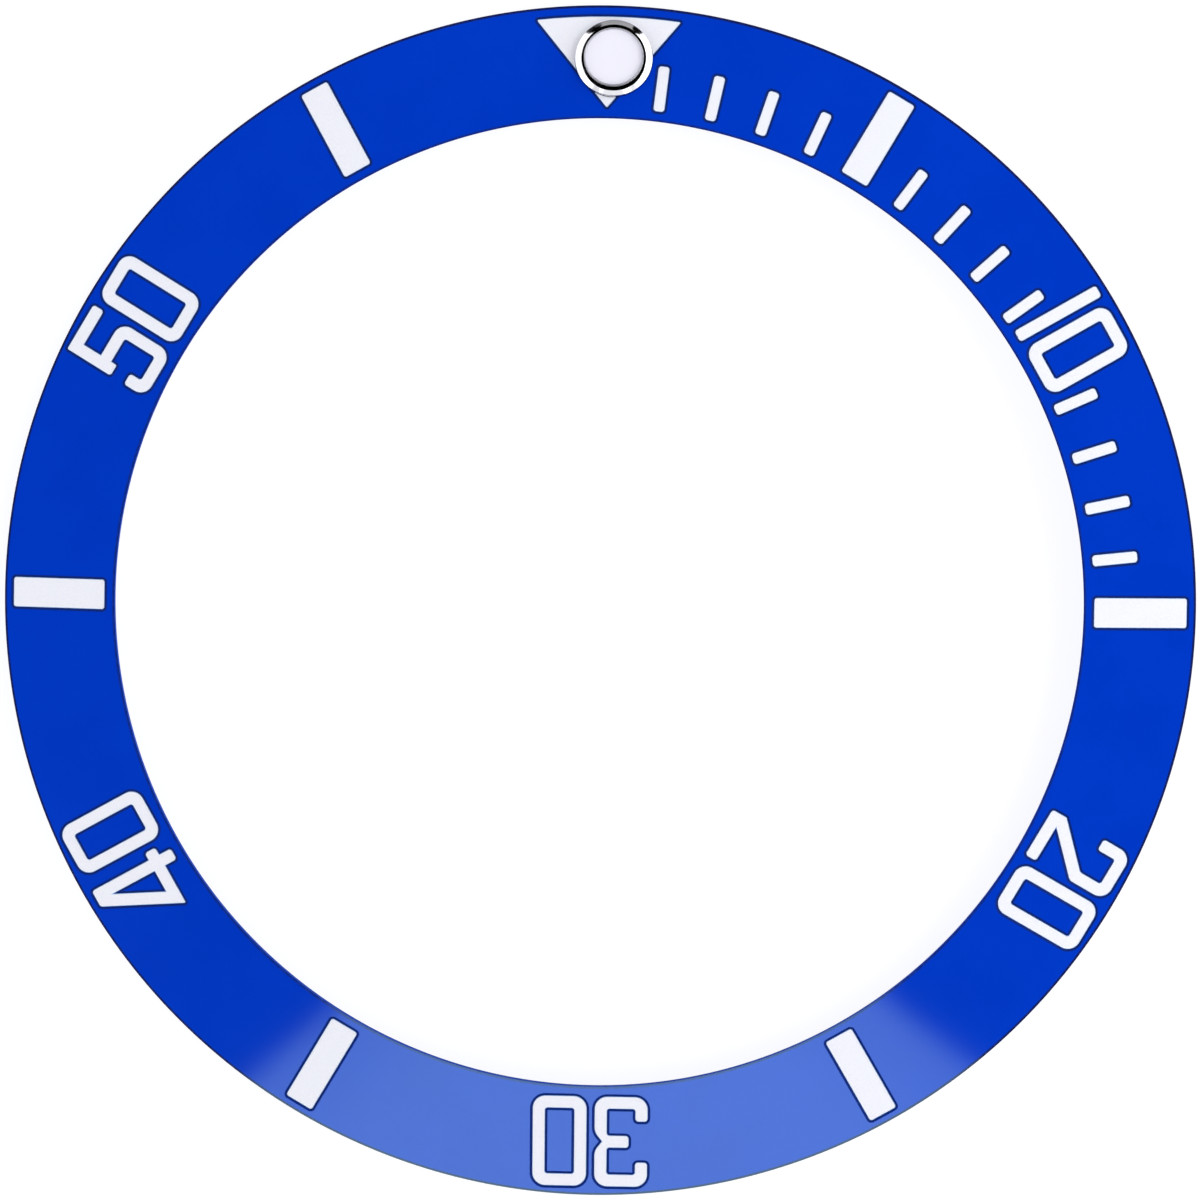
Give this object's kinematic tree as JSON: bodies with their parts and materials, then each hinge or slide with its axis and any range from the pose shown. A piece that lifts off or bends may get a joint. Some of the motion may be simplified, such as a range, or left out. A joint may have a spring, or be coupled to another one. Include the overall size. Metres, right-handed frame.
{
  "type": "watch bezel insert",
  "caption": "Sloped ceramic ring insert for a rotating watch bezel, with a filled minute scale, numerals at the tens, a triangle at twelve and a set luminous pearl.",
  "frame": {"origin": "centre of the ring, on its flat back face", "axes": "+Z along the ring's axis, out of the sloped front; +Y to the triangle at 12 o'clock; +X to 15 minutes, so the scale runs clockwise seen from +Z"},
  "size_m": [0.038, 0.038, 0.0016],
  "materials": {
    "blue_ceramic": "zirconia polished to a high gloss on the slope and rims, lapped matt on the back",
    "white_fill": "white lacquer cast in the pockets, smooth with a very fine grain",
    "polished_steel": "turned and polished stainless steel",
    "luminous_white": "pressed luminous compound, matt and faintly lavender",
    "clear_dome": "clear low dome, polished"
  },
  "bodies": {
    "root": {"insert_ring": "blue_ceramic", "triangle_fill": "white_fill", "bar_05": "white_fill", "bar_15": "white_fill", "bar_25": "white_fill", "bar_35": "white_fill", "bar_45": "white_fill", "bar_55": "white_fill", "minute_tick_01": "white_fill", "minute_tick_02": "white_fill", "minute_tick_03": "white_fill", "minute_tick_04": "white_fill", "minute_tick_06": "white_fill", "minute_tick_07": "white_fill", "minute_tick_08": "white_fill", "minute_tick_09": "white_fill", "minute_tick_11": "white_fill", "minute_tick_12": "white_fill", "minute_tick_13": "white_fill", "minute_tick_14": "white_fill", "numeral_10_tens": "white_fill", "numeral_20_tens": "white_fill", "numeral_30_tens": "white_fill", "numeral_40_tens": "white_fill", "numeral_50_tens": "white_fill", "numeral_10_units": "white_fill", "numeral_20_units": "white_fill", "numeral_30_units": "white_fill", "numeral_40_units": "white_fill", "numeral_50_units": "white_fill", "pearl_cup": "polished_steel", "pearl_lume": "luminous_white", "pearl_dome": "clear_dome"}
  },
  "joints": []
}
